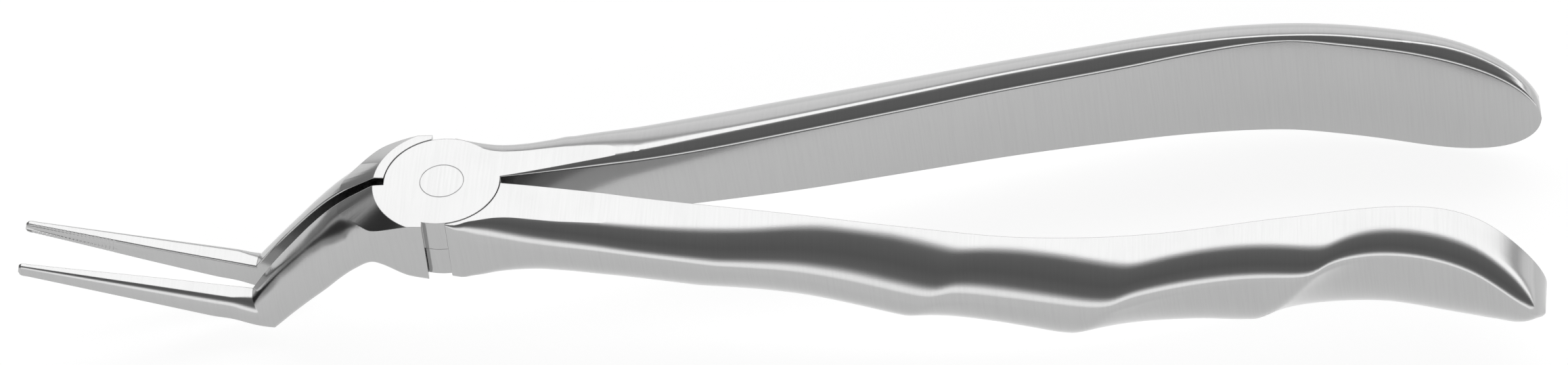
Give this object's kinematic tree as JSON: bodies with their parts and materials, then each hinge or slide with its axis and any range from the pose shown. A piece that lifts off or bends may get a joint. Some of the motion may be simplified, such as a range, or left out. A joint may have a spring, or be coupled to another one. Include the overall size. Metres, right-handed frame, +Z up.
{
  "type": "dental extraction forceps",
  "caption": "Steel root forceps for dental extraction: crossed halves on a flush pivot screw, bent slender serrated beaks, one half-round handle and one with finger grooves.",
  "frame": {"origin": "bottom centre of the bounding box of the forceps as it lies at rest, slightly open", "axes": "+X from the beak tips to the handle ends, +Y towards the handle of the front half, +Z up from the surface it lies on"},
  "size_m": [0.1881, 0.045, 0.02],
  "materials": {
    "satin_steel": "satin",
    "screw_steel": "satin"
  },
  "bodies": {
    "rear": {"rear_half": "satin_steel", "pivot_screw": "screw_steel"},
    "front": {"front_half": "satin_steel"}
  },
  "joints": [
    {"name": "pivot", "type": "hinge", "parent": "rear", "child": "front", "pos_m": [-0.03957, -0.00239, 0.01484], "axis": [0.0649, 0, 0.9979], "range_deg": [-6.9, 20]}
  ]
}
